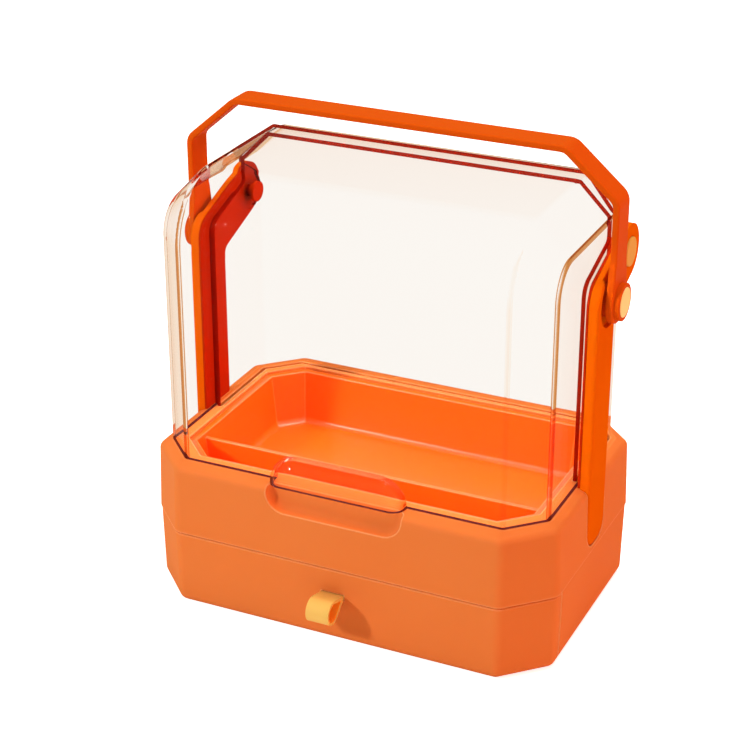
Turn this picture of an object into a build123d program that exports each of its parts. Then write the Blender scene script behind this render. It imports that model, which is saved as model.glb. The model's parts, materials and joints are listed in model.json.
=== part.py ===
from build123d import *
import math
import os

# Dustproof makeup organizer: an orange moulded base with a drawer and a lift-out
# tray, under two clear covers, with a strap handle that swings on two side posts.
# Frame: +X right, +Y to the back, +Z up; origin at the middle of the underside. mm.

# ---- overall sizes ----
base_width = 260.0
base_depth = 175.0
seam_height = 49.0          # where the upper shell sits on the lower frame
ledge_height = 94.0         # flat ledge that the covers stand on
cover_top = 266.0
handle_rise = 29.0          # top of the handle above the covers

# ---- base ----
base_corner = 26.5          # legs of the cut-off vertical corners
edge_round = 8.0            # rounding of the base's vertical edges
shoulder_drop = 2.3         # the shoulder slopes from the ledge down to the wall
shoulder_round = 4.0
ledge_thickness = 6.2
ledge_margin = 0.6          # ledge outside the front cover
shell_wall = 2.6
seam_step = 0.6             # the lower half is set in by this much
seam_round = 0.7
lower_draft = 1.0
upper_draft = 1.4
foot_round = 6.0            # rounding of the bottom edge
fit_gap = 0.25              # clearance between pieces of the same body
pilot_gap = 0.1
cut_over = 1.0              # how far a cut starts outside the face it opens
hair = 0.01                 # tolerance for finding an edge by its place

# ---- lower frame ----
frame_floor = 2.4
frame_side = 2.8
split_setback = 8.0         # the drawer front wraps this far round the side
drawer_split_gap = 0.5      # visible seam between drawer front and frame
boss_radius = 4.0
boss_overlap = 1.0          # how far a screw boss merges into the wall
boss_web = 2.0
front_boss_setback = 41.5   # screw bosses, measured in from the base's faces
back_boss_setback = 45.5
rear_boss_setback = 52.0
screw_radius = 1.5
screw_head_radius = 2.8
screw_head_height = 2.0
screw_grip = 6.0            # plastic between a screw head and the seam
screw_bite = 9.0            # length of a screw above the deck
runner_setback = 43.0
runner_height = 1.2
runner_width = 3.0
guide_width = 1.8
guide_height = 12.0
foot_side_setback = 38.0
foot_front_setback = 47.5
foot_back_setback = 29.5
foot_radius = 7.0
foot_thickness = 1.4        # pads are let in flush with the underside

# ---- drawer ----
drawer_wall = 2.2
drawer_floor = 2.4
drawer_side_room = 12.6     # between the drawer's box and the side of the bay
drawer_back_room = 15.1
drawer_top_room = 5.0
drawer_front_gap = 0.7      # gap above the drawer front
drawer_slide_gap = 0.3
drawer_lift = 0.5           # the drawer front clears the table
drawer_travel = 0.6 * base_depth
stop_setback = 53.0
stop_lug_width = 20.0
stop_lug_height = 3.6
stop_rib_width = 32.0
stop_depth = 2.6            # how far the deck's stop rib hangs down
stop_thickness = 2.4
stop_clearance = 0.4

# ---- pull strap ----
strap_width = 14.4
strap_thickness = 1.6
strap_drop = 18.0           # its slit below the seam
strap_reach = 21.0          # how far the loop stands out
strap_loop_radius = 7.3
strap_droop = 2.6           # how far the loop's middle hangs below its slit
strap_root = 0.4            # extra roundness where the two layers meet
clip_width = 18.0
clip_height = 9.0
clip_thickness = 2.4

# ---- deck and tray ----
deck_thickness = 2.5
tray_side_margin = 12.5     # from the front cover's outside to the tray's mouth
tray_front_margin = 12.0
tray_corner = 16.0
tray_rim_width = 4.0
tray_rim_thickness = 2.0
tray_sink = 2.0             # the tray's rim below the ledge
tray_clearance = 6.5        # the tray's floor above the deck
tray_wall = 2.0
tray_draft = 4.0            # how far the tray's walls lean in at its floor
tray_floor_round = 4.0
front_room_depth = 27.0     # the narrow compartment in front of the divider
divider_thickness = 2.2
divider_drop = 3.0          # the divider's top below the tray's rim

# ---- clear covers ----
cover_side_margin = 8.5     # from the base's outside to the front cover
cover_front_margin = 10.5
cover_back_margin = 13.2
cover_corner = 20.5         # legs of the bevel along the sides
cover_edge_round = 4.0      # rounding of the bevel's edges
cover_wall = 2.5
cover_round = 40.5          # radius of the front-top edge
cover_foot_gap = 0.3        # air under the swinging cover
lap_gap = 0.4               # air between the two covers
lap_width = 2.2             # how far the front cover runs over the rear one at the sides
top_lap = 9.0               # and on top
rear_round = 26.0
groove_depth = 2.6          # groove in the ledge that holds the rear cover
rim_bend_drop = 50.0        # the rim's bend below the top of the cover
rim_corner_drop = 36.5
rim_shoulder_drop = 19.0
rim_setback = 12.2          # the rim ahead of the handle's pivot
rim_corner_setback = 12.5   # and ahead of the lid's pivot
rim_bend_round = 10.0
rim_corner_round = 4.0
tab_width = 86.0
tab_height = 17.5
tab_reach = 9.5
tab_wall = 2.2
tab_corner = 17.0
tab_round = 8.5             # rounding between the tab's face and its ends
scoop_depth = 8.0
scoop_height = 16.0
scoop_round = 12.0
scoop_fillet = 4.0
scoop_wall = 2.2

# ---- lid pivot ----
lid_pivot_setback = 27.8    # ahead of the rear cover's back
lid_pivot_drop = 46.0       # below the top of the cover
lid_pin_radius = 4.0
lid_pin_head_radius = 6.8
lid_pin_head = 2.0
ear_radius = 12.0
ear_root = 8.0              # rounding where the ear leaves the side wall
running_gap = 0.08          # radial clearance of a pin in a turning bore
cap_radius = 8.7
cap_thickness = 2.4
cap_proud = 1.2             # how far a cap stands out of its recess
cap_edge_round = 0.5

# ---- posts ----
post_gap = 0.6              # air between the front cover and a post's liner
post_inset = 0.2            # the post's outside within the base's widest line
post_step = 2.8             # the link and head are stepped in
post_lead = 19.3            # the post's front ahead of the handle's pivot
post_trail = 9.7
post_foot_rise = 4.0        # lower end of the tongue above the seam
post_foot_round = 11.0
post_head_radius = 16.5
link_slope = 20.0           # degrees that the link rises towards the head
post_front_round = 14.0
post_back_round = 6.0
post_edge_round = 2.0
post_head_edge = 1.0        # rounding of the head's outer edge
liner_thickness = 1.6
post_wall = 3.0
post_pocket_depth = 3.2
post_rib_thickness = 1.6
post_pockets = 4            # lightening pockets behind the liner
post_step_radius = 16.0     # arc step in front of the handle's end
pocket_wall = 2.0           # shell behind a post's tongue
post_screw_length = 6.5
post_screw_inset = 10.0     # lower screw above the tongue's end
post_screw_share = 0.683    # upper screw, as a share of the tongue's length

# ---- handle ----
handle_thickness = 4.0
handle_depth = 18.5
handle_side_gap = 1.1       # between a post and a handle's arm
handle_slant_run = 32.1     # width and drop of the slanted corners
handle_slant_drop = 27.8
handle_round = 10.0
handle_edge_round = 1.2
handle_pivot_setback = 40.2  # ahead of the lid's pivot
handle_pivot_drop = 60.0    # below the top of the cover
handle_lobe_radius = 13.0
handle_lobe_rise = 24.0     # where the lobe runs out into the strap
boss_ring_radius = 11.0
boss_ring_height = 3.3
handle_pin_radius = 5.0
handle_pin_head_radius = 8.0
handle_pin_head = 1.8
handle_cap_thickness = 1.3
handle_cap_proud = 0.4
washer_radius = 10.0
washer_gap = 0.15           # end play between washer and handle
pivot_screw_radius = 1.8
pivot_screw_head_radius = 6.0
pivot_screw_head = 1.3
pivot_screw_length = 7.0
pivot_screw_room = 1.6      # round the screw's head

# ---- places that follow from the sizes above ----
wall_top = ledge_height - shoulder_drop
deck_top = seam_height + deck_thickness
split_y = -(base_depth / 2 - base_corner - split_setback)
bay_back = base_depth / 2 - seam_step - lower_draft - frame_side
bay_half_width = base_width / 2 - seam_step - lower_draft - frame_side
side_boss_x = bay_half_width - boss_radius + boss_overlap
rear_boss_y = bay_back - boss_radius + boss_overlap
side_boss_ys = (front_boss_setback - base_depth / 2, base_depth / 2 - back_boss_setback)
rear_boss_xs = (rear_boss_setback - base_width / 2, base_width / 2 - rear_boss_setback)
boss_places = [(side * side_boss_x, y) for side in (-1, 1) for y in side_boss_ys]
boss_places += [(x, rear_boss_y) for x in rear_boss_xs]
foot_x = base_width / 2 - foot_side_setback
foot_ys = (foot_front_setback - base_depth / 2, base_depth / 2 - foot_back_setback)
foot_places = [(x, y) for x in (-foot_x, foot_x) for y in foot_ys]
screw_seat = seam_height - screw_grip

drawer_box_half_width = bay_half_width - drawer_side_room
drawer_box_back = bay_back - drawer_back_room
drawer_box_height = seam_height - drawer_top_room
runner_x = drawer_box_half_width - runner_setback
stop_x = drawer_box_half_width - stop_setback
stop_places = (-stop_x, stop_x)
strap_height = seam_height - strap_drop

cover_half_width = base_width / 2 - cover_side_margin
cover_front = base_depth / 2 - cover_front_margin
rear_cover_back = base_depth / 2 - cover_back_margin
rear_half_width = cover_half_width - cover_wall - lap_gap
rear_top = cover_top - cover_wall - lap_gap
lid_pivot_y = rear_cover_back - lid_pivot_setback
lid_pivot_z = cover_top - lid_pivot_drop
handle_pivot_y = lid_pivot_y - handle_pivot_setback
handle_pivot_z = cover_top - handle_pivot_drop
lid_pivot = (lid_pivot_y, lid_pivot_z)
handle_pivot = (handle_pivot_y, handle_pivot_z)
rim_y = handle_pivot_y - rim_setback
rim_bend_height = cover_top - rim_bend_drop
rim_corner_y = lid_pivot_y - rim_corner_setback
rim_corner_height = cover_top - rim_corner_drop
rim_shoulder_height = cover_top - rim_shoulder_drop

tray_half_width = cover_half_width - tray_side_margin
tray_half_depth = cover_front - tray_front_margin
tray_top = ledge_height - tray_sink
tray_floor_top = deck_top + tray_clearance
divider_y = front_room_depth - tray_half_depth

post_inner = cover_half_width + post_gap
post_side = post_inner + liner_thickness
post_outer = base_width / 2 - post_inset
post_link_outer = post_outer - post_step
post_front = handle_pivot_y - post_lead
post_back = handle_pivot_y + post_trail
post_foot = seam_height + post_foot_rise
post_tongue = ledge_height - post_foot
post_screw_heights = (post_foot + post_screw_inset, post_foot + post_screw_share * post_tongue)

handle_top = cover_top + handle_rise
handle_outer = post_outer + handle_side_gap + handle_thickness
handle_flat_half = handle_outer - handle_slant_run
handle_corner_height = handle_top - handle_slant_drop

os.makedirs("parts", exist_ok=True)


def save(builder, label):
    builder.part.label = label
    export_step(builder.part, "parts/" + label + ".step")


# ---- shared outlines ----
def cut_corner_outline(half_width, half_depth, corner, mode=Mode.ADD):
    """Rectangle with its four corners cut off at 45 degrees."""
    points = [
        (half_width, half_depth - corner),
        (half_width - corner, half_depth),
        (corner - half_width, half_depth),
        (-half_width, half_depth - corner),
        (-half_width, corner - half_depth),
        (corner - half_width, -half_depth),
        (half_width - corner, -half_depth),
        (half_width, corner - half_depth),
    ]
    Polygon(*points, align=None, mode=mode)


def inset_corner(corner, inset):
    """Leg of a 45 degree corner after its outline moves in by inset."""
    return corner - inset * (2 - math.sqrt(2))


def base_outline(inset):
    cut_corner_outline(base_width / 2 - inset, base_depth / 2 - inset, inset_corner(base_corner, inset))
    fillet(vertices(), edge_round - inset)


def tray_outline(outset):
    corner = inset_corner(tray_corner, -outset)
    cut_corner_outline(tray_half_width + outset, tray_half_depth + outset, corner)


def lower_half():
    """The outer form of the lower half, shared by the frame and the drawer front."""
    with BuildSketch(Plane.XY) as underside:
        base_outline(seam_step + lower_draft)
    with BuildSketch(Plane.XY.offset(seam_height)) as seam:
        base_outline(seam_step)
    loft(sections=[underside.sketch, seam.sketch])
    fillet(edges().group_by(Axis.Z)[0], foot_round)
    fillet(edges().group_by(Axis.Z)[-1], seam_round)


# ---- lower frame ----
with BuildPart() as lower_frame:
    lower_half()
    with Locations((0, split_y + drawer_split_gap / 2 - base_depth, 0)):
        Box(2 * base_width, 2 * base_depth, 4 * seam_height, mode=Mode.SUBTRACT)
    bay_length = base_depth + bay_back
    with BuildSketch(Plane.XY.offset(frame_floor)):
        with Locations((0, bay_back - bay_length / 2)):
            Rectangle(2 * bay_half_width, bay_length)
        with Locations(*[(side * bay_half_width, bay_back) for side in (-1, 1)]):
            corner_block = math.sqrt(2) * inset_corner(base_corner, seam_step + lower_draft + frame_side)
            Rectangle(corner_block, corner_block, rotation=45, mode=Mode.SUBTRACT)
    extrude(amount=seam_height, mode=Mode.SUBTRACT)
    with BuildSketch(Plane.XY.offset(frame_floor)):
        with Locations(*boss_places):
            Circle(boss_radius)
    extrude(amount=seam_height - frame_floor)
    with Locations(*[(x, y, 0) for x, y in boss_places]):
        Cylinder(
            screw_head_radius + fit_gap, screw_seat,
            align=(Align.CENTER, Align.CENTER, Align.MIN), mode=Mode.SUBTRACT,
        )
        Cylinder(
            screw_radius + fit_gap, seam_height,
            align=(Align.CENTER, Align.CENTER, Align.MIN), mode=Mode.SUBTRACT,
        )
    with Locations(*[(x, y, 0) for x, y in foot_places]):
        Cylinder(
            foot_radius + fit_gap, foot_thickness,
            align=(Align.CENTER, Align.CENTER, Align.MIN), mode=Mode.SUBTRACT,
        )
    rail_length = drawer_box_back - split_y - drawer_split_gap
    with Locations(*[(side * runner_x, drawer_box_back - rail_length / 2, frame_floor) for side in (-1, 1)]):
        Box(
            runner_width, rail_length, runner_height,
            align=(Align.CENTER, Align.CENTER, Align.MIN),
        )
    guide_x = drawer_box_half_width + drawer_slide_gap + guide_width / 2
    with Locations(*[(side * guide_x, drawer_box_back - rail_length / 2, frame_floor) for side in (-1, 1)]):
        Box(
            guide_width, rail_length, guide_height,
            align=(Align.CENTER, Align.CENTER, Align.MIN),
        )
save(lower_frame, "lower_frame")

# ---- drawer ----
drawer_bottom = frame_floor + runner_height + drawer_slide_gap
front_back_y = split_y - drawer_split_gap / 2
front_top = seam_height - drawer_front_gap
with BuildPart() as drawer:
    lower_half()
    with Locations((0, front_back_y + base_depth, 0)):
        Box(2 * base_width, 2 * base_depth, 4 * seam_height, mode=Mode.SUBTRACT)
    with Locations((0, 0, front_top + seam_height)):
        Box(2 * base_width, 2 * base_depth, 2 * seam_height, mode=Mode.SUBTRACT)
    with Locations((0, 0, drawer_lift - seam_height)):
        Box(2 * base_width, 2 * base_depth, 2 * seam_height, mode=Mode.SUBTRACT)
    fillet(edges().group_by(Axis.Z)[-1].sort_by(Axis.Y)[:-1], seam_round)
    with BuildSketch(Plane.XY.offset(frame_floor)):
        base_outline(seam_step + lower_draft + frame_side)
        Rectangle(2 * drawer_box_half_width, 2 * base_depth, mode=Mode.SUBTRACT)
    extrude(amount=drawer_box_height - frame_floor, mode=Mode.SUBTRACT)
    box_length = drawer_box_back - front_back_y
    with Locations((0, front_back_y + box_length / 2, drawer_bottom)):
        Box(
            2 * drawer_box_half_width, box_length, drawer_box_height - drawer_bottom,
            align=(Align.CENTER, Align.CENTER, Align.MIN),
        )
    inside_half = drawer_box_half_width - drawer_wall
    inside_front = base_depth / 2 - seam_step - lower_draft - frame_side
    inside_back = drawer_box_back - drawer_wall
    hollow_corner = inset_corner(base_corner, frame_side)
    hollow_floor = drawer_bottom + drawer_floor
    with BuildSketch(Plane.XY.offset(hollow_floor)):
        with Locations((0, (inside_back - inside_front) / 2)):
            Rectangle(2 * inside_half, inside_back + inside_front)
        chamfer_leg = hollow_corner - (bay_half_width - inside_half)
        chamfer(vertices().group_by(Axis.Y)[0], chamfer_leg)
    extrude(amount=seam_height, mode=Mode.SUBTRACT)
    with Locations(*[(x, inside_back + drawer_wall / 2, drawer_box_height) for x in stop_places]):
        Box(
            stop_lug_width, drawer_wall, stop_lug_height,
            align=(Align.CENTER, Align.CENTER, Align.MIN),
        )
    with Locations((0, -base_depth / 2, strap_height)):
        Box(
            strap_width + 2 * fit_gap, 6 * frame_side, 2 * strap_thickness + 2 * fit_gap,
            mode=Mode.SUBTRACT,
        )
save(drawer, "drawer")


# ---- pull strap: one folded strip whose two ends pass a slit in the drawer front ----
strap_wall_share = 1 - strap_height / seam_height
strap_face_y = -(base_depth / 2 - seam_step - lower_draft * strap_wall_share)
loop_y = strap_face_y - strap_reach + strap_loop_radius
loop_z = strap_height - strap_droop
strap_root_radius = strap_thickness + strap_root
clip_front_y = -inside_front

with BuildPart() as pull_strap:
    with BuildSketch(Plane.YZ) as strap_outside:
        with Locations((strap_face_y - strap_root_radius, strap_height)):
            Circle(strap_root_radius)
        with Locations((loop_y, loop_z)):
            Circle(strap_loop_radius)
        make_hull()
    extrude(amount=strap_width / 2, both=True)
    with BuildSketch(Plane.YZ) as strap_inside:
        with Locations((strap_face_y - 2 * strap_root_radius, strap_height)):
            Circle(strap_root)
        with Locations((loop_y, loop_z)):
            Circle(strap_loop_radius - strap_thickness)
        make_hull()
    extrude(amount=strap_width, both=True, mode=Mode.SUBTRACT)
    tail_length = clip_front_y + clip_thickness - strap_face_y + strap_root_radius
    with Locations((0, strap_face_y - strap_root_radius, strap_height)):
        Box(
            strap_width, tail_length, 2 * strap_thickness,
            align=(Align.CENTER, Align.MIN, Align.CENTER),
        )
save(pull_strap, "pull_strap")

with BuildPart() as pull_strap_clip:
    with Locations((0, clip_front_y, strap_height)):
        Box(
            clip_width, clip_thickness, clip_height,
            align=(Align.CENTER, Align.MIN, Align.CENTER),
        )
        Box(
            strap_width + 2 * fit_gap, 3 * clip_thickness, 2 * (strap_thickness + fit_gap),
            mode=Mode.SUBTRACT,
        )
save(pull_strap_clip, "pull_strap_clip")

# ---- middle deck: roof of the drawer bay and floor of the upper shell ----
drawer_limit_y = inside_back - drawer_travel - stop_clearance
with BuildPart() as middle_deck:
    with BuildSketch(Plane.XY.offset(seam_height)):
        base_outline(shell_wall + fit_gap)
    extrude(amount=deck_thickness)
    with Locations(*[(x, drawer_limit_y - stop_thickness / 2, seam_height) for x in stop_places]):
        Box(
            stop_rib_width, stop_thickness, stop_depth,
            align=(Align.CENTER, Align.CENTER, Align.MAX),
        )
    with Locations(*[(x, y, deck_top) for x, y in boss_places]):
        Hole(screw_radius + fit_gap, deck_thickness)
save(middle_deck, "middle_deck")


# ---- upper shell ----
def upper_wall_inset(height):
    """How far the upper shell's outside has leaned in at a height."""
    return upper_draft * (height - seam_height) / (wall_top - seam_height)


roof_height = ledge_height - ledge_thickness
tray_seat = tray_top - tray_rim_thickness
rear_corner = inset_corner(cover_corner, cover_wall + lap_gap)
pocket_middle_y = (post_front + post_back) / 2
pocket_span = post_back - post_front
scoop_back_y = -base_depth / 2 + scoop_depth
pocket_back = post_side - fit_gap
backing_overlap = 0.5       # how far a backing merges into the wall or roof


def scoop_block():
    """What the finger scoop takes away, with rounded inner edges."""
    with BuildPart() as block:
        with BuildSketch(Plane.XZ.offset(base_depth)) as face:
            with Locations((0, ledge_height)):
                Rectangle(tab_width, 2 * scoop_height)
            fillet(vertices(), scoop_round)
        extrude(face.sketch, amount=-(base_depth + scoop_back_y))
        fillet(faces().sort_by(Axis.Y)[-1].edges(), scoop_fillet)
    return block.part


with BuildPart() as upper_shell:
    with BuildSketch(Plane.XY.offset(seam_height)):
        base_outline(0)
    with BuildSketch(Plane.XY.offset(wall_top)):
        base_outline(upper_draft)
    loft()
    with BuildSketch(Plane.XY.offset(wall_top)):
        base_outline(upper_draft)
    with BuildSketch(Plane.XY.offset(ledge_height)):
        cut_corner_outline(
            cover_half_width + ledge_margin, cover_front + ledge_margin,
            inset_corner(cover_corner, -ledge_margin),
        )
        fillet(vertices(), cover_edge_round)
    loft()
    fillet(edges().filter_by_position(Axis.Z, wall_top - hair, wall_top + hair), shoulder_round)
    fillet(edges().group_by(Axis.Z)[0], seam_round)
    with BuildSketch(Plane.XY.offset(seam_height)):
        base_outline(shell_wall)
    with BuildSketch(Plane.XY.offset(roof_height)):
        base_outline(shell_wall + upper_wall_inset(roof_height))
    loft(mode=Mode.SUBTRACT)
    # backing for the finger scoop and for the posts' pockets
    backing_top = roof_height + backing_overlap
    with Locations((0, scoop_back_y + scoop_wall, backing_top)):
        Box(
            tab_width + 2 * scoop_wall, scoop_depth, scoop_height + scoop_wall,
            align=(Align.CENTER, Align.MAX, Align.MAX),
        )
    for side in (-1, 1):
        with Locations((side * (pocket_back - pocket_wall), pocket_middle_y, deck_top + fit_gap)):
            Box(
                base_width / 2 - shell_wall - pocket_back + pocket_wall + backing_overlap,
                pocket_span + 2 * (fit_gap + pocket_wall), backing_top - deck_top - fit_gap,
                align=(Align.MIN if side > 0 else Align.MAX, Align.CENTER, Align.MIN),
            )
    # screw bosses with a web to the wall
    with BuildSketch(Plane.XY.offset(deck_top)):
        with Locations(*boss_places):
            Circle(boss_radius)
        with Locations(*[(side * side_boss_x, y) for side in (-1, 1) for y in side_boss_ys]):
            Rectangle(2 * (base_width / 2 - shell_wall - side_boss_x), boss_web)
        with Locations(*[(x, rear_boss_y) for x in rear_boss_xs]):
            Rectangle(boss_web, 2 * (base_depth / 2 - shell_wall - rear_boss_y))
    extrude(amount=screw_bite + boss_web)
    with Locations(*[(x, y, deck_top) for x, y in boss_places]):
        Cylinder(
            screw_radius + pilot_gap, screw_bite + pilot_gap,
            align=(Align.CENTER, Align.CENTER, Align.MIN), mode=Mode.SUBTRACT,
        )
    # mouth for the tray, with a seat for its rim
    with BuildSketch(Plane.XY.offset(roof_height - cut_over)):
        tray_outline(tray_wall + 2 * fit_gap)
    extrude(amount=ledge_thickness + 2 * cut_over, mode=Mode.SUBTRACT)
    with BuildSketch(Plane.XY.offset(tray_seat)):
        tray_outline(tray_rim_width + fit_gap)
    extrude(amount=ledge_thickness, mode=Mode.SUBTRACT)
    # groove that holds the rear cover
    with BuildSketch(Plane.XY.offset(ledge_height - groove_depth)):
        cut_corner_outline(
            rear_half_width + fit_gap, rear_cover_back + fit_gap, inset_corner(rear_corner, -fit_gap),
        )
        cut_corner_outline(
            rear_half_width - cover_wall - fit_gap, rear_cover_back - cover_wall - fit_gap,
            inset_corner(rear_corner, cover_wall + fit_gap), mode=Mode.SUBTRACT,
        )
        with Locations((0, rim_y - fit_gap - base_depth)):
            Rectangle(2 * base_width, 2 * base_depth, mode=Mode.SUBTRACT)
    extrude(amount=ledge_height, mode=Mode.SUBTRACT)
    # finger scoop under the cover's tab
    add(scoop_block(), mode=Mode.SUBTRACT)
    # pockets that take the tongues of the posts
    for side in (-1, 1):
        with BuildSketch(Plane.YZ.offset(side * pocket_back)):
            with Locations((pocket_middle_y, post_foot - fit_gap)):
                Rectangle(pocket_span + 2 * fit_gap, ledge_height, align=(Align.CENTER, Align.MIN))
            fillet(vertices().group_by(Axis.Y)[0], post_foot_round + fit_gap)
        extrude(amount=side * base_width, mode=Mode.SUBTRACT)
        with Locations(*[
            Location((side * (pocket_back - pocket_wall - cut_over), pocket_middle_y, z), (0, side * 90, 0))
            for z in post_screw_heights
        ]):
            Cylinder(
                screw_radius + fit_gap, pocket_wall + 2 * cut_over,
                align=(Align.CENTER, Align.CENTER, Align.MIN), mode=Mode.SUBTRACT,
            )
save(upper_shell, "upper_shell")

# ---- tray ----
tray_floor_under = tray_floor_top - tray_wall
tray_depth = tray_top - tray_floor_top


def tray_lean(height):
    """How far the tray's walls have leaned in at a height."""
    return tray_draft * (tray_top - height) / tray_depth


with BuildPart() as organizer_tray:
    with BuildSketch(Plane.XY.offset(tray_floor_under)):
        tray_outline(tray_wall - tray_lean(tray_floor_under))
    with BuildSketch(Plane.XY.offset(tray_top)):
        tray_outline(tray_wall)
    loft()
    fillet(edges().group_by(Axis.Z)[0], tray_floor_round)
    with BuildSketch(Plane.XY.offset(tray_seat)):
        tray_outline(tray_rim_width)
    extrude(amount=tray_rim_thickness)
    with BuildSketch(Plane.XY.offset(tray_floor_top)):
        tray_outline(-tray_draft)
    with BuildSketch(Plane.XY.offset(tray_top)):
        tray_outline(0)
    loft(mode=Mode.SUBTRACT)
    inner_floor = edges().filter_by_position(Axis.Z, tray_floor_top - hair, tray_floor_top + hair)
    fillet(inner_floor, tray_floor_round)
    divider_top = tray_top - divider_drop
    divider_low = tray_half_width - tray_draft + tray_wall / 2
    divider_high = tray_half_width - tray_lean(divider_top) + tray_wall / 2
    divider_base = tray_floor_top - tray_wall / 2
    with BuildSketch(Plane.XZ.offset(-divider_y)):
        Polygon(
            (-divider_low, divider_base), (divider_low, divider_base),
            (divider_high, divider_top), (-divider_high, divider_top), align=None,
        )
    extrude(amount=divider_thickness / 2, both=True)
save(organizer_tray, "organizer_tray")


# ---- clear covers ----
def bevelled_hull(half_width, front, back, top, corner, front_round, back_round, edge_radius):
    """Block with rounded front and back top edges and a 45 degree bevel round both ends."""
    bottom = -2 * beyond
    with BuildPart() as hull:
        with BuildSketch(Plane.YZ):
            Polygon((-front, bottom), (back, bottom), (back, top), (-front, top), align=None)
            fillet(vertices().group_by(Axis.Y)[0], spare_round)
            fillet(vertices().group_by(Axis.Y)[-1].sort_by(Axis.X)[0], front_round)
            fillet(vertices().group_by(Axis.Y)[-1].sort_by(Axis.X)[-1], back_round)
        extrude(amount=half_width, both=True)
        for x in (-half_width, half_width):
            chamfer(edges().filter_by_position(Axis.X, x - hair, x + hair), corner)
        for x in (-half_width, corner - half_width, half_width - corner, half_width):
            fillet(edges().filter_by_position(Axis.X, x - hair, x + hair), edge_radius)
    return hull.part


beyond = 3 * cover_corner   # how far a block runs past the part that is kept
spare_round = beyond / 2
inner_edge_round = cover_edge_round - cover_wall
inner_half_width = cover_half_width - cover_wall
inner_front = cover_front - cover_wall
inner_corner = inset_corner(cover_corner, cover_wall)
front_shell = bevelled_hull(
    cover_half_width, cover_front, rear_cover_back + beyond, cover_top,
    cover_corner, cover_round, spare_round, cover_edge_round,
)
front_room = bevelled_hull(
    inner_half_width, inner_front, rear_cover_back + beyond, cover_top - cover_wall,
    inner_corner, cover_round - cover_wall, spare_round, inner_edge_round,
)
rear_shell = bevelled_hull(
    rear_half_width, cover_front + beyond, rear_cover_back, rear_top,
    rear_corner, spare_round, rear_round, inner_edge_round,
)
rear_room = bevelled_hull(
    rear_half_width - cover_wall, cover_front + beyond + cover_wall, rear_cover_back - cover_wall,
    rear_top - cover_wall, inset_corner(rear_corner, cover_wall), spare_round,
    rear_round - cover_wall, inner_edge_round / 2,
)
cover_foot = ledge_height + cover_foot_gap
rear_foot = ledge_height - groove_depth


def rim_outline(shift, lean, foot):
    """Side view of all that lies ahead of a rim; shift moves it back, lean tips its top back."""
    slope = math.atan2(rim_corner_height - rim_bend_height, rim_corner_y - rim_y)
    drop = shift / math.cos(slope) - shift * math.tan(slope)
    Polygon(
        (-base_depth, foot), (rim_y + shift, foot), (rim_y + shift, rim_bend_height - drop),
        (rim_corner_y + shift, rim_corner_height - drop), (rim_corner_y + shift, rim_shoulder_height),
        (rim_corner_y + shift + lean, cover_top), (rim_corner_y + shift + lean, handle_top),
        (-base_depth, handle_top), align=None,
    )
    bend = vertices().filter_by_position(Axis.X, rim_y + shift - hair, rim_y + shift + hair)
    fillet(bend.sort_by(Axis.Y)[-1], rim_bend_round)
    elbow = vertices().filter_by_position(
        Axis.X, rim_corner_y + shift - hair, rim_corner_y + shift + hair,
    )
    fillet(elbow.sort_by(Axis.Y)[0], rim_corner_round)


def tab_block(inset):
    """Rounded hood low on the front cover, or the hollow a wall's thickness inside it."""
    with BuildPart() as block:
        with BuildSketch(Plane.XZ.offset(cover_front - 2 * cover_wall)) as face:
            with Locations((0, cover_foot)):
                Rectangle(tab_width - 2 * inset, 2 * (tab_height - inset))
            fillet(vertices(), tab_corner - inset)
        extrude(face.sketch, amount=2 * cover_wall + tab_reach - inset)
        fillet(faces().sort_by(Axis.Y)[0].edges(), tab_round - inset)
    return block.part


with BuildPart() as front_cover:
    add(front_shell)
    add(tab_block(0))
    add(front_room, mode=Mode.SUBTRACT)
    add(tab_block(tab_wall), mode=Mode.SUBTRACT)
    with BuildSketch(Plane.YZ):
        rim_outline(lap_width, top_lap - lap_width, cover_foot)
    extrude(amount=base_width, both=True, mode=Mode.INTERSECT)
    # ears that carry the cover on its pins
    for side in (-1, 1):
        with BuildSketch(Plane.YZ.offset(side * inner_half_width)):
            with Locations(lid_pivot):
                Circle(ear_radius)
            with Locations((rim_corner_y - ear_root, rim_corner_height + ear_root)):
                Circle(ear_root)
            make_hull()
        extrude(amount=side * cover_wall)
        with BuildSketch(Plane.YZ.offset(side * inner_half_width)):
            with Locations(lid_pivot):
                Circle(lid_pin_radius + running_gap)
        extrude(amount=side * cover_wall, mode=Mode.SUBTRACT)
save(front_cover, "front_cover")

with BuildPart() as rear_cover:
    add(rear_shell)
    add(rear_room, mode=Mode.SUBTRACT)
    with Locations((0, 0, rear_foot)):
        Box(
            2 * base_width, 2 * base_depth, 2 * handle_top,
            align=(Align.CENTER, Align.CENTER, Align.MIN), mode=Mode.INTERSECT,
        )
    with BuildSketch(Plane.YZ):
        rim_outline(0, 0, -handle_top)
    extrude(amount=base_width, both=True, mode=Mode.SUBTRACT)
    with BuildSketch(Plane.YZ):
        with Locations(lid_pivot):
            Circle(lid_pin_radius + pilot_gap)
    extrude(amount=base_width, both=True, mode=Mode.SUBTRACT)
save(rear_cover, "rear_cover")


# ---- posts ----
slope = math.radians(link_slope)
link_normal = (-math.sin(slope) * post_head_radius, math.cos(slope) * post_head_radius)
upper_tangent = (lid_pivot_y + link_normal[0], lid_pivot_z + link_normal[1])
lower_tangent = (lid_pivot_y - link_normal[0], lid_pivot_z - link_normal[1])
front_bend_z = upper_tangent[1] - (upper_tangent[0] - post_front) * math.tan(slope)
back_bend_z = lower_tangent[1] - (lower_tangent[0] - post_back) * math.tan(slope)


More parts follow.
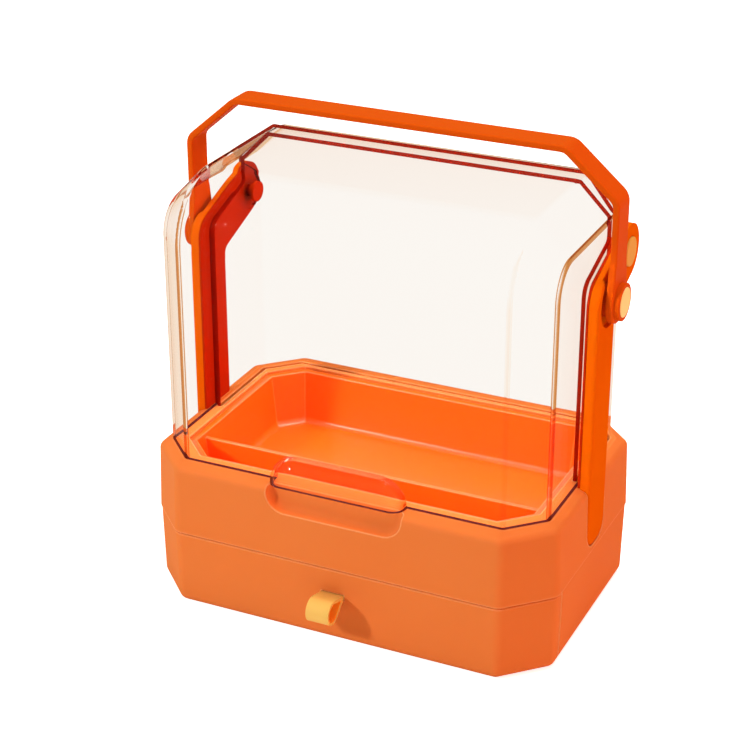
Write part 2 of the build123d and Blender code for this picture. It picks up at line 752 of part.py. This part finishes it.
def post_outline(foot, foot_round):
    Polygon(
        (post_front, foot), (post_front, front_bend_z), upper_tangent, lower_tangent,
        (post_back, back_bend_z), (post_back, foot), align=None,
    )
    front_line = vertices().filter_by_position(Axis.X, post_front - hair, post_front + hair)
    fillet(front_line.sort_by(Axis.Y)[-1], post_front_round)
    back_line = vertices().filter_by_position(Axis.X, post_back - hair, post_back + hair)
    fillet(back_line.sort_by(Axis.Y)[-1], post_back_round)
    if foot_round:
        fillet(vertices().group_by(Axis.Y)[0], foot_round)
    with Locations(lid_pivot):
        Circle(post_head_radius)


def post_plate(side, thickness, edge_radius):
    """Plate with the whole outline of a post, rounded on its outer face."""
    with BuildPart() as plate:
        with BuildSketch(Plane.YZ.offset(side * post_side)) as outline:
            post_outline(post_foot, post_foot_round)
        extrude(outline.sketch, amount=side * thickness)
        fillet(faces().sort_by(Axis.X)[-1 if side > 0 else 0].edges(), edge_radius)
    return plate.part


def disc(side, start, end, place, radius, mode=Mode.ADD):
    """Disc or bore across a side, from one distance off the middle plane to another."""
    with BuildSketch(Plane.YZ.offset(side * start)) as circle:
        with Locations(place):
            Circle(radius)
    extrude(circle.sketch, amount=side * (end - start), mode=mode)


cap_seat = post_link_outer + cap_proud - cap_thickness
pocket_low = ledge_height + post_wall
pocket_high = back_bend_z - post_wall
pocket_step = (pocket_high - pocket_low + post_rib_thickness) / post_pockets
boss_face = handle_outer + boss_ring_height
handle_cap_back = boss_face + handle_cap_proud - handle_cap_thickness
pin_end_x = handle_cap_back - fit_gap - pivot_screw_head
screw_head_x = pocket_back - pocket_wall - running_gap

for side, name in ((-1, "left"), (1, "right")):
    with BuildPart() as post:
        add(post_plate(side, post_outer - post_side, post_edge_round))
        with BuildSketch(Plane.YZ.offset(side * post_link_outer)):
            with Locations(handle_pivot):
                Circle(post_step_radius)
            with Locations(lid_pivot):
                Circle(post_step_radius + post_wall)
            make_hull()
        extrude(amount=side * post_outer, mode=Mode.SUBTRACT)
        add(post_plate(side, post_link_outer - post_side, post_head_edge))
        with BuildSketch(Plane.YZ.offset(side * post_side)):
            for step in range(post_pockets):
                with Locations((pocket_middle_y, pocket_low + step * pocket_step)):
                    Rectangle(
                        pocket_span - 2 * post_wall, pocket_step - post_rib_thickness,
                        align=(Align.CENTER, Align.MIN),
                    )
        extrude(amount=side * post_pocket_depth, mode=Mode.SUBTRACT)
        disc(side, post_side, post_side + handle_pin_head + pilot_gap, handle_pivot,
             handle_pin_head_radius + fit_gap, Mode.SUBTRACT)
        disc(side, post_side, post_outer, handle_pivot, handle_pin_radius + pilot_gap, Mode.SUBTRACT)
        disc(side, post_side, post_outer, lid_pivot, lid_pin_radius + pilot_gap, Mode.SUBTRACT)
        disc(side, cap_seat, post_outer, lid_pivot, cap_radius + fit_gap, Mode.SUBTRACT)
        for z in post_screw_heights:
            disc(side, post_side, post_side + post_screw_length - pocket_wall, (pocket_middle_y, z),
                 screw_radius + pilot_gap, Mode.SUBTRACT)
    save(post, name + "_post")

    with BuildPart() as liner:
        with BuildSketch(Plane.YZ.offset(side * post_inner)):
            post_outline(ledge_height, 0)
        extrude(amount=side * liner_thickness)
        disc(side, post_inner, post_side, lid_pivot, lid_pin_radius + pilot_gap, Mode.SUBTRACT)
    save(liner, name + "_post_liner")

    with BuildPart() as lid_pin:
        pin_head_x = rear_half_width - cover_wall - pilot_gap
        disc(side, pin_head_x - lid_pin_head, pin_head_x, lid_pivot, lid_pin_head_radius)
        disc(side, pin_head_x, cap_seat, lid_pivot, lid_pin_radius)
    save(lid_pin, name + "_lid_pin")

    with BuildPart() as lid_cap:
        disc(side, cap_seat, cap_seat + cap_thickness, lid_pivot, cap_radius)
        fillet(faces().sort_by(Axis.X)[-1 if side > 0 else 0].edges(), cap_edge_round)
    save(lid_cap, name + "_lid_cap")

    with BuildPart() as handle_pin:
        disc(side, post_side, post_side + handle_pin_head, handle_pivot, handle_pin_head_radius)
        disc(side, post_side, pin_end_x, handle_pivot, handle_pin_radius)
        disc(side, pin_end_x - pivot_screw_length, pin_end_x, handle_pivot,
             pivot_screw_radius + pilot_gap, Mode.SUBTRACT)
    save(handle_pin, name + "_handle_pin")

    with BuildPart() as washer:
        washer_outer = handle_outer - handle_thickness - washer_gap
        disc(side, post_link_outer, washer_outer, handle_pivot, washer_radius)
        disc(side, post_link_outer, washer_outer, handle_pivot, handle_pin_radius + pilot_gap, Mode.SUBTRACT)
    save(washer, name + "_handle_washer")

    with BuildPart() as handle_cap:
        disc(side, handle_cap_back, boss_face + handle_cap_proud, handle_pivot, cap_radius)
        fillet(faces().sort_by(Axis.X)[-1 if side > 0 else 0].edges(), cap_edge_round)
    save(handle_cap, name + "_handle_cap")


# ---- handle ----
def handle_lobe(side):
    """Rounded end of a handle arm with the raised ring round its pivot."""
    with BuildPart() as lobe:
        with BuildSketch(Plane.YZ.offset(side * (handle_outer - handle_thickness))) as plate:
            with Locations(handle_pivot):
                Circle(handle_lobe_radius)
            with Locations((handle_pivot_y, handle_pivot_z + handle_lobe_rise)):
                Circle(handle_depth / 2)
            make_hull()
        extrude(plate.sketch, amount=side * handle_thickness)
        fillet(faces().sort_by(Axis.X)[-1 if side > 0 else 0].edges(), handle_edge_round)
        disc(side, handle_outer - handle_edge_round, boss_face, handle_pivot, boss_ring_radius)
        fillet(faces().sort_by(Axis.X)[-1 if side > 0 else 0].edges(), cap_edge_round)
    return lobe.part


with BuildPart() as handle:
    with BuildSketch(Plane.XZ.offset(-handle_pivot_y)):
        Polygon(
            (-handle_outer, 0), (handle_outer, 0), (handle_outer, handle_corner_height),
            (handle_flat_half, handle_top), (-handle_flat_half, handle_top),
            (-handle_outer, handle_corner_height), align=None,
        )
        bends = vertices().filter_by_position(Axis.Y, handle_corner_height - hair, handle_top + hair)
        fillet(bends, handle_round)
        offset(amount=-handle_thickness, mode=Mode.SUBTRACT)
        with Locations((0, handle_pivot_z)):
            Rectangle(3 * handle_outer, 3 * handle_outer, align=(Align.CENTER, Align.MAX), mode=Mode.SUBTRACT)
    extrude(amount=handle_depth / 2, both=True)
    long_edges = edges().group_by(Axis.Y)[0]
    long_edges += edges().group_by(Axis.Y)[-1]
    fillet(long_edges, handle_edge_round)
    for side in (-1, 1):
        add(handle_lobe(side))
        disc(side, handle_outer - 2 * handle_thickness, boss_face, handle_pivot,
             handle_pin_radius + running_gap, Mode.SUBTRACT)
        disc(side, pin_end_x - washer_gap, boss_face, handle_pivot,
             pivot_screw_head_radius + pivot_screw_room, Mode.SUBTRACT)
        disc(side, handle_cap_back, boss_face, handle_pivot, cap_radius + washer_gap, Mode.SUBTRACT)
save(handle, "handle")


# ---- screws and feet ----
with BuildPart() as pivot_screws:
    for side in (-1, 1):
        disc(side, pin_end_x, pin_end_x + pivot_screw_head, handle_pivot, pivot_screw_head_radius)
        disc(side, pin_end_x - pivot_screw_length + pilot_gap, pin_end_x, handle_pivot, pivot_screw_radius)
save(pivot_screws, "pivot_screws")

with BuildPart() as post_screws:
    for side in (-1, 1):
        for z in post_screw_heights:
            place = (pocket_middle_y, z)
            disc(side, screw_head_x - screw_head_height, screw_head_x, place, screw_head_radius)
            disc(side, screw_head_x, screw_head_x + post_screw_length, place, screw_radius)
save(post_screws, "post_screws")

with BuildPart() as frame_screws:
    with BuildSketch(Plane.XY.offset(screw_seat - pilot_gap)):
        with Locations(*boss_places):
            Circle(screw_head_radius)
    extrude(amount=-screw_head_height)
    with BuildSketch(Plane.XY.offset(screw_seat - pilot_gap)):
        with Locations(*boss_places):
            Circle(screw_radius)
    extrude(amount=deck_top + screw_bite - screw_seat)
save(frame_screws, "frame_screws")

with BuildPart() as anti_slip_feet:
    with BuildSketch():
        with Locations(*foot_places):
            Circle(foot_radius)
    extrude(amount=foot_thickness)
save(anti_slip_feet, "anti_slip_feet")
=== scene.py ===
import json
import math

import bpy
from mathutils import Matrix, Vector

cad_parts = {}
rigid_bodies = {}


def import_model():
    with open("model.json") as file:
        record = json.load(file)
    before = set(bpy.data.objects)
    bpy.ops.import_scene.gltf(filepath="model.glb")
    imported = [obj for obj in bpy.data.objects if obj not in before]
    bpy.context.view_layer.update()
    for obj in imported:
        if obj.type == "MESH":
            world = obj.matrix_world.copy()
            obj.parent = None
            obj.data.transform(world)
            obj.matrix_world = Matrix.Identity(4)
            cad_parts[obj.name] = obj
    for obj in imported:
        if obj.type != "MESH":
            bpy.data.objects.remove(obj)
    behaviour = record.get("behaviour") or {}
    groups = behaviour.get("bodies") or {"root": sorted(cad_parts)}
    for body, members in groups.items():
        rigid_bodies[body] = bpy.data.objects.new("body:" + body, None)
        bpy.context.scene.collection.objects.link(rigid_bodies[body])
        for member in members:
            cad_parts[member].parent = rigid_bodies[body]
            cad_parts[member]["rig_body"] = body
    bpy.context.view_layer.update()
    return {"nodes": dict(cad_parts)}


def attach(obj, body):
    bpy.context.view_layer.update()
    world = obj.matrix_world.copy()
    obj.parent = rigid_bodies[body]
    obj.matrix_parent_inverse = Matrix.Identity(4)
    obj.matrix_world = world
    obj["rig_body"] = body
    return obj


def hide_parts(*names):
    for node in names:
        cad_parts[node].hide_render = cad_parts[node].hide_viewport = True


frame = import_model()
mm = 0.001
print("solids loaded")


# an sRGB hex colour by the sRGB curve, with full alpha
def toLinear(hexColour):
    values = [int(hexColour[i:i + 2], 16) / 255 for i in (1, 3, 5)]
    return [v / 12.92 if v <= 0.04045 else ((v + 0.055) / 1.055) ** 2.4 for v in values] + [1.0]


# a node with its settings and links; sockets go by name, or by number where several share a name
def addNode(tree, kind, settings=None, links=None):
    node = tree.nodes.new(kind)
    for name, value in (settings or {}).items():
        if isinstance(name, int) or name in node.inputs:
            node.inputs[name].default_value = value
        else:
            setattr(node, name, value)
    for name, socket in (links or {}).items():
        tree.links.new(socket, node.inputs[name])
    return node


def newMaterial(name):
    material = bpy.data.materials.new(name)
    material.use_nodes = True
    material.node_tree.nodes.clear()
    return material, material.node_tree


def selectOnly(piece):
    bpy.ops.object.select_all(action="DESELECT")
    piece.select_set(True)
    bpy.context.view_layer.objects.active = piece


# a CAD node's mesh as one joined surface with soft shading, on the node's own body
def mergedCopy(nodeName, title, smoothAngle, weldGap=0.001 * mm):
    solid = frame["nodes"][nodeName]
    piece = bpy.data.objects.new(title, solid.data.copy())
    bpy.context.collection.objects.link(piece)
    selectOnly(piece)
    if piece.data.has_custom_normals:
        bpy.ops.mesh.customdata_custom_splitnormals_clear()
    bpy.ops.object.mode_set(mode="EDIT")
    bpy.ops.mesh.select_all(action="SELECT")
    bpy.ops.mesh.remove_doubles(threshold=weldGap)
    bpy.ops.object.mode_set(mode="OBJECT")
    bpy.ops.object.shade_smooth_by_angle(angle=math.radians(smoothAngle))
    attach(piece, solid["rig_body"])
    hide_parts(nodeName)
    return piece


# moulded plastic: satin, and light goes a little way in, so edges glow a little and hollows turn red;
# edges are also made paler by a painted highlight
moulding = {
    "driftLength": 70,  # mm, slow drift of the colour between gate and rim
    "grainLength": 0.4,  # mm, spark-eroded grain of the mould
    "grainDepth": 0.2,  # mm
    "noiseDetail": 2.0,
    "ior": 1.49,  # polypropylene
    "glowDepth": 4,  # mm
    "glowReach": (1.0, 0.25, 0.04),  # red goes furthest, blue hardly at all
    "edgeSamples": 6,
    # edgeStart and edgeFull: where the painted edge highlight begins, and where it is full
    "edgeStart": 1.0,  # the rounded and the plain normal agree: the flat of a face
    "edgeFull": 0.93,  # they part by about 22 degrees: the palest line of an edge
}


def mouldedPlastic(name, look):
    material, tree = newMaterial(name)
    place = addNode(tree, "ShaderNodeTexCoord").outputs["Object"]
    drift = addNode(
        tree, "ShaderNodeTexNoise",
        {"Scale": 1 / (moulding["driftLength"] * mm), "Detail": moulding["noiseDetail"]},
        {"Vector": place},
    )
    tone = addNode(
        tree, "ShaderNodeMix",
        {"data_type": "RGBA", 6: toLinear(look["colour"]), 7: toLinear(look["shade"])},
        {0: drift.outputs["Fac"]},
    )
    grain = addNode(
        tree, "ShaderNodeTexNoise",
        {"Scale": 1 / (moulding["grainLength"] * mm), "Detail": moulding["noiseDetail"]},
        {"Vector": place},
    )
    # edges are rounded a little, and made paler by a painted highlight where the rounded normal leaves
    # the plain one
    edge = addNode(
        tree, "ShaderNodeBevel", {"Radius": look["edge"] * mm, "samples": moulding["edgeSamples"]},
    )
    plain = addNode(tree, "ShaderNodeNewGeometry")
    meeting = addNode(
        tree, "ShaderNodeVectorMath", {"operation": "DOT_PRODUCT"},
        {0: edge.outputs["Normal"], 1: plain.outputs["Normal"]},
    )
    paintedHighlightShare = addNode(
        tree, "ShaderNodeMapRange",
        {"From Min": moulding["edgeStart"], "From Max": moulding["edgeFull"],
         "To Min": 0.0, "To Max": look["paintedHighlight"]},
        {"Value": meeting.outputs["Value"]},
    )
    withPaintedHighlight = addNode(
        tree, "ShaderNodeMix", {"data_type": "RGBA", 7: toLinear(look["paintedHighlightColour"])},
        {0: paintedHighlightShare.outputs["Result"], 6: tone.outputs[2]},
    )
    bump = addNode(
        tree, "ShaderNodeBump", {"Strength": look["grain"], "Distance": moulding["grainDepth"] * mm},
        {"Height": grain.outputs["Fac"], "Normal": edge.outputs["Normal"]},
    )
    body = addNode(
        tree, "ShaderNodeBsdfPrincipled",
        {"Roughness": look["roughness"], "IOR": moulding["ior"], "Specular IOR Level": look["gloss"],
         "Subsurface Weight": look["glow"], "Subsurface Scale": moulding["glowDepth"] * mm,
         "Subsurface Radius": moulding["glowReach"]},
        {"Base Color": withPaintedHighlight.outputs[2], "Normal": bump.outputs["Normal"]},
    )
    addNode(tree, "ShaderNodeOutputMaterial", None, {"Surface": body.outputs["BSDF"]})
    return material


# moulded clear polystyrene: polished, nearly colourless face on and amber where it is seen slantwise
def clearPlastic(name, look):
    material, tree = newMaterial(name)
    slant = addNode(tree, "ShaderNodeLayerWeight", {"Blend": 0.5})  # at 0.5 the slant runs evenly
    tint = addNode(tree, "ShaderNodeValToRGB", None, {"Fac": slant.outputs["Facing"]})
    stops = tint.color_ramp.elements
    stops[0].color = toLinear(look["faceOn"])
    stops[1].color = toLinear(look["edgeOn"])
    for share, colour in look["between"]:
        stops.new(share).color = toLinear(colour)
    clear = addNode(
        tree, "ShaderNodeBsdfPrincipled",
        {"Roughness": look["roughness"], "IOR": look["ior"], "Transmission Weight": look["clearness"],
         "Coat Weight": look["glints"], "Coat Roughness": look["glintBlur"]},
        {"Base Color": tint.outputs["Color"]},
    )
    # it casts next to no shadow
    passing = addNode(tree, "ShaderNodeBsdfTransparent", {"Color": toLinear(look["shadow"])})
    path = addNode(tree, "ShaderNodeLightPath")
    mix = addNode(
        tree, "ShaderNodeMixShader", None,
        {0: path.outputs["Is Shadow Ray"], 1: clear.outputs["BSDF"], 2: passing.outputs["BSDF"]},
    )
    addNode(tree, "ShaderNodeOutputMaterial", None, {"Surface": mix.outputs["Shader"]})
    return material


# what the moulded pieces share; edge is the radius in mm of their rounded edges, and their painted edge
# highlight is off unless a piece turns it up
satin = {
    "roughness": 0.5, "gloss": 0.03, "glow": 0.1, "grain": 0.04,
    "edge": 1.0, "paintedHighlight": 0.0, "paintedHighlightColour": "#FFB070",
}
# matt outside of the box, with a painted highlight along its soft edges
shellPlastic = mouldedPlastic("orangeShellPolypropylene", {
    **satin, "colour": "#DC7E40", "shade": "#DA7638", "gloss": 0.005, "roughness": 0.45,
    "edge": 1.6, "paintedHighlight": 0.6, "paintedHighlightColour": "#FFBE84",
})
# matt posts, a deeper orange
postPlastic = mouldedPlastic("orangePostPolypropylene", {
    **satin, "colour": "#DC6606", "shade": "#DA6004", "gloss": 0.0,
})
# the tray comes from a smoother mould: soft highlights on its floor and walls, and a painted highlight
# along its edges; its stronger, redder orange than the box is painted light for the glow it has under the
# clear covers
trayPlastic = mouldedPlastic("orangeTrayPolypropylene", {
    **satin, "colour": "#EE680C", "shade": "#EC6008", "gloss": 0.7, "roughness": 0.3,
    "edge": 1.4, "paintedHighlight": 0.5, "paintedHighlightColour": "#FFAA62",
})
# matt handle, darker than the box
handlePlastic = mouldedPlastic("orangeHandlePolypropylene", {
    **satin, "colour": "#D2560C", "shade": "#D05008", "gloss": 0.01,
})
# the posts' inner sides and the small fittings, a red that hardly shines
linerPlastic = mouldedPlastic("redLinerPolypropylene", {
    **satin, "colour": "#B42A04", "shade": "#AA2404", "gloss": 0.01,
})
# round caps over the pivots, all of one yellow: painted lighter on the handle for the light it catches,
# and painted a darker ochre on the lid for the shade it sits in
handleCapPlastic = mouldedPlastic("yellowCapPolypropylene", {
    **satin, "colour": "#FFEEA4", "shade": "#FFE698",
})
paintedShadeLidCapPlastic = mouldedPlastic("paintedShadeCapPolypropylene", {
    **satin, "colour": "#DCAE50", "shade": "#D8A648",
})
# calendered vinyl: thin, with a grain that shows; its inside is painted orange, as painted light bounced
# from the box
strapVinyl = mouldedPlastic("yellowStrapVinyl", {
    **satin, "colour": "#E4C06A", "shade": "#DEB85E", "grain": 0.1, "edge": 0.3,
})
paintedBounceStrapInside = mouldedPlastic("paintedBounceOrangeStrap", {
    **satin, "colour": "#FFAE3C", "shade": "#FCA432", "grain": 0.1, "edge": 0.3,
})
# dense, satin acetal of the pins and washers
acetalPin = mouldedPlastic("orangeAcetal", {**satin, "colour": "#D2500E", "shade": "#C8480C"})
# dull grey screws, deep in their holes
zincSteel = mouldedPlastic("zincPlatedSteel", {
    **satin, "colour": "#B8B8B8", "shade": "#A8A8A8", "glow": 0.0,
})
# matt, nearly black rubber
blackRubber = mouldedPlastic("blackRubber", {
    **satin, "colour": "#2A2A2A", "shade": "#222222", "roughness": 0.75, "glow": 0.0,
})

# the covers' walls: a low ior keeps them free of haze, and their tints deepen between face on and edge on
polished = {
    "roughness": 0.01, "ior": 1.03, "glints": 0.0, "glintBlur": 0.03,
    "clearness": 1.0, "shadow": "#FFFAF4",
}
coverPlastic = clearPlastic("clearPolystyrene", {
    **polished, "faceOn": "#FDFBF8", "edgeOn": "#A86430",
    "between": (
        (0.5, "#FDFAF7"), (0.6, "#FCF7F2"), (0.7, "#FAECE2"), (0.77, "#F4D8B8"), (0.87, "#DC9A5C"),
    ),
})
# their bends are thicker, and the orange of the box that they gather is painted into their tint as a
# painted reflection
bendPlastic = clearPlastic("clearPolystyreneBend", {
    **polished, "glints": 0.1, "faceOn": "#FCF8F2", "edgeOn": "#B46A30",
    "between": (
        (0.15, "#FAEADA"), (0.25, "#D07A38"), (0.35, "#B04C10"), (0.5, "#A44810"), (0.7, "#B8602A"),
    ),
})
# the hood catches the lamps; its deeper orange tint, darkening to red-brown edge on, is a painted
# reflection of the box
hoodPlastic = clearPlastic("clearPolystyreneHood", {
    **polished, "ior": 1.06, "glints": 0.25, "faceOn": "#FFE8D4", "edgeOn": "#5A1A04",
    "between": ((0.6, "#F2AE70"), (0.8, "#C46E2E")),
})
# a cut edge: the box's orange that it pipes to the eye is painted in, as a painted reflection darkened to
# red
rimPlastic = clearPlastic("clearPolystyreneRim", {
    **polished, "clearness": 0.2, "roughness": 0.2, "faceOn": "#941404", "edgeOn": "#400400",
    "between": ((0.5, "#720A02"),),
})
# the foot stands in a narrow groove: its shade there is painted in, so it reads as a dark line
footPlastic = clearPlastic("clearPolystyreneFoot", {
    **polished, "clearness": 0.25, "faceOn": "#6E2E34", "edgeOn": "#30101A", "between": (),
})

finishes = {
    shellPlastic: ["lower_frame", "upper_shell", "middle_deck", "drawer"],
    postPlastic: ["left_post", "right_post"],
    trayPlastic: ["organizer_tray"],
    handlePlastic: ["handle"],
    linerPlastic: [
        "left_post_liner", "right_post_liner", "left_lid_pin", "right_lid_pin", "pull_strap_clip",
    ],
    handleCapPlastic: ["left_handle_cap", "right_handle_cap"],
    paintedShadeLidCapPlastic: ["left_lid_cap", "right_lid_cap"],
    strapVinyl: ["pull_strap"],
    acetalPin: [
        "left_handle_pin", "right_handle_pin", "left_handle_washer", "right_handle_washer",
    ],
    zincSteel: ["pivot_screws", "post_screws", "frame_screws"],
    blackRubber: ["anti_slip_feet"],
    coverPlastic: ["front_cover", "rear_cover"],
}
for material, nodeNames in finishes.items():
    for nodeName in nodeNames:
        mesh = frame["nodes"][nodeName].data
        mesh.materials.clear()
        mesh.materials.append(material)
print("finishes set")

# the clear covers: places in mm, turns in degrees round from a side wall, tilts as parts of a unit normal
covers = {
    "smoothAngle": 35,
    # where the two covers' cut edges stand, and which of their faces show the cut
    "rimFront": -12, "rimBack": 60, "rimTurn": 70, "rimFacing": 0.25, "rimTilt": 0.4, "rimSide": 70,
    # the underside that stands in the groove
    "footBelow": 96, "footTilt": -0.9,
    # the hood over the thumb scoop
    "hoodAhead": -77.3, "hoodTop": 112, "hoodHalf": 43, "hoodTilt": -0.1,
    # the bends on either side of the 45 degree bevels
    "bevelTurn": 45, "frontBend": 67.5, "sideBend": 22.5, "bendReach": 21, "bendTilt": 0.6,
}
wallSlot, bendSlot, rimSlot, footSlot, hoodSlot = range(5)


# which finish a cover's face takes, where towards is 1 for the front cover and -1 for the rear one
def coverSlot(face, towards):
    middle, normal = face.center / mm, face.normal
    turn = math.degrees(math.acos(min(1, abs(normal.x))))
    cutEdge = (
        turn > covers["rimTurn"]
        and normal.y * towards > covers["rimFacing"]
        and covers["rimFront"] < middle.y < covers["rimBack"]
    )
    if cutEdge and (abs(normal.z) < covers["rimTilt"] or abs(middle.x) > covers["rimSide"]):
        return rimSlot
    if normal.z < covers["footTilt"] and middle.z < covers["footBelow"]:
        return footSlot
    underHood = (
        middle.z < covers["hoodTop"]
        and abs(middle.x) < covers["hoodHalf"]
        and normal.z < covers["hoodTilt"]
    )
    if middle.y < covers["hoodAhead"] or underHood:
        return hoodSlot
    offBend = min(abs(turn - covers["frontBend"]), abs(turn - covers["sideBend"]))
    leaning = turn < covers["bevelTurn"] or abs(normal.z) < covers["bendTilt"]
    if towards > 0 and offBend < covers["bendReach"] and leaning:
        return bendSlot
    return wallSlot


for nodeName, title, towards in (
    ("front_cover", "frontCoverShell", 1), ("rear_cover", "rearCoverShell", -1),
):
    shell = mergedCopy(nodeName, title, covers["smoothAngle"])
    for extra in (bendPlastic, rimPlastic, footPlastic, hoodPlastic):
        shell.data.materials.append(extra)
    for face in shell.data.polygons:
        face.material_index = coverSlot(face, towards)
print("clear covers dressed")

# the pull strap: light yellow outside, and painted orange where it faces into the loop, for light bounced
# from the box; y and z in mm
strap = {"smoothAngle": 40, "loopMiddle": (-100.3, 28.4), "loopRear": -87.5, "cutFacing": 0.5}
loop = mergedCopy("pull_strap", "pullStrapLoop", strap["smoothAngle"])
loop.data.materials.append(paintedBounceStrapInside)
for face in loop.data.polygons:
    y = face.center.y / mm - strap["loopMiddle"][0]
    z = face.center.z / mm - strap["loopMiddle"][1]
    inwards = y * face.normal.y + z * face.normal.z < 0 and abs(face.normal.x) < strap["cutFacing"]
    face.material_index = 1 if inwards and face.center.y / mm < strap["loopRear"] else 0
print("pull strap dressed")

# studio: paper floor, warm white room, a small lamp from the front left, wide ones right and above
studio = {
    "floorSize": 12.0, "floorColour": "#FAFAFA", "floorRoughness": 0.9, "floorGloss": 0.1,
    "floorGlow": 0.78, "roomLight": 0.37, "roomColour": "#FFE8D2", "whiteSeen": 1.0,
    "lampAim": (0, 0, 0.12),
}

bpy.ops.object.select_all(action="DESELECT")
bpy.ops.mesh.primitive_plane_add(size=studio["floorSize"], location=(0, 0, 0))
floor = bpy.context.active_object
floor.name = "studioFloor"
# matt white paper: it glows to the eye alone, and is plain white through the clear covers
paperFloor, tree = newMaterial("paperFloor")
path = addNode(tree, "ShaderNodeLightPath")
paper = addNode(tree, "ShaderNodeBsdfPrincipled", {
    "Base Color": toLinear(studio["floorColour"]), "Roughness": studio["floorRoughness"],
    "Specular IOR Level": studio["floorGloss"],
})
glow = addNode(tree, "ShaderNodeEmission", {"Strength": studio["floorGlow"]})
bright = addNode(
    tree, "ShaderNodeAddShader", None, {0: paper.outputs["BSDF"], 1: glow.outputs["Emission"]},
)
direct = addNode(
    tree, "ShaderNodeMixShader", None,
    {0: path.outputs["Is Camera Ray"], 1: paper.outputs["BSDF"], 2: bright.outputs["Shader"]},
)
white = addNode(tree, "ShaderNodeEmission", {"Strength": studio["whiteSeen"]})
through = addNode(
    tree, "ShaderNodeMixShader", None,
    {0: path.outputs["Is Transmission Ray"], 1: direct.outputs["Shader"], 2: white.outputs["Emission"]},
)
addNode(tree, "ShaderNodeOutputMaterial", None, {"Surface": through.outputs["Shader"]})
floor.data.materials.append(paperFloor)

# the room lights the object softly and is white to the eye, also through the clear covers
world = bpy.data.worlds.new("studioRoom")
bpy.context.scene.world = world
world.use_nodes = True
tree = world.node_tree
tree.nodes.clear()
path = addNode(tree, "ShaderNodeLightPath")
eye = addNode(
    tree, "ShaderNodeMath", {"operation": "ADD", "use_clamp": True},
    {0: path.outputs["Is Camera Ray"], 1: path.outputs["Is Transmission Ray"]},
)
soft = addNode(
    tree, "ShaderNodeBackground",
    {"Color": toLinear(studio["roomColour"]), "Strength": studio["roomLight"]},
)
seen = addNode(
    tree, "ShaderNodeBackground", {"Color": (1, 1, 1, 1), "Strength": studio["whiteSeen"]},
)
choice = addNode(
    tree, "ShaderNodeMixShader", None,
    {0: eye.outputs["Value"], 1: soft.outputs["Background"], 2: seen.outputs["Background"]},
)
addNode(tree, "ShaderNodeOutputWorld", None, {"Surface": choice.outputs["Shader"]})

# places and sizes in metres, power in watts
lamps = {
    "keyLamp": {"place": (-1.06, -1.38, 1.1), "size": 0.2, "power": 21, "colour": "#FFFFFF"},
    "rightLamp": {"place": (1.9, -0.3, 0.7), "size": 0.9, "power": 17, "colour": "#FF823A"},
    "topLamp": {"place": (0.2, 0.3, 1.7), "size": 0.8, "power": 15, "colour": "#FFFFFF"},
}
for name, lamp in lamps.items():
    bpy.ops.object.light_add(type="AREA", location=lamp["place"])
    light = bpy.context.active_object
    light.name = name
    light.data.size = lamp["size"]
    light.data.energy = lamp["power"]
    light.data.color = toLinear(lamp["colour"])[:3]
    aim = Vector(studio["lampAim"]) - Vector(lamp["place"])
    light.rotation_euler = aim.to_track_quat("-Z", "Y").to_euler()

# turn and rise in degrees from straight ahead, lens and sensor in mm, farthest in metres
shot = {
    "turn": 24.86, "rise": 25.44, "lens": 95.7, "sensor": 36, "farthest": 50,
    "place": (441.1 * mm, -979.4 * mm, 647.1 * mm),
}
camera = bpy.data.objects.new("camera", bpy.data.cameras.new("camera"))
bpy.context.collection.objects.link(camera)
bpy.context.scene.camera = camera
turn, rise = math.radians(shot["turn"]), math.radians(shot["rise"])
back = Vector((math.sin(turn) * math.cos(rise), -math.cos(turn) * math.cos(rise), math.sin(rise)))
camera.rotation_mode = "QUATERNION"
camera.rotation_quaternion = (-back).to_track_quat("-Z", "Y")
camera.location = shot["place"]
camera.data.sensor_width = shot["sensor"]
camera.data.lens = shot["lens"]
camera.data.clip_end = shot["farthest"]
bpy.context.scene.view_settings.view_transform = "Standard"
print("studio ready")
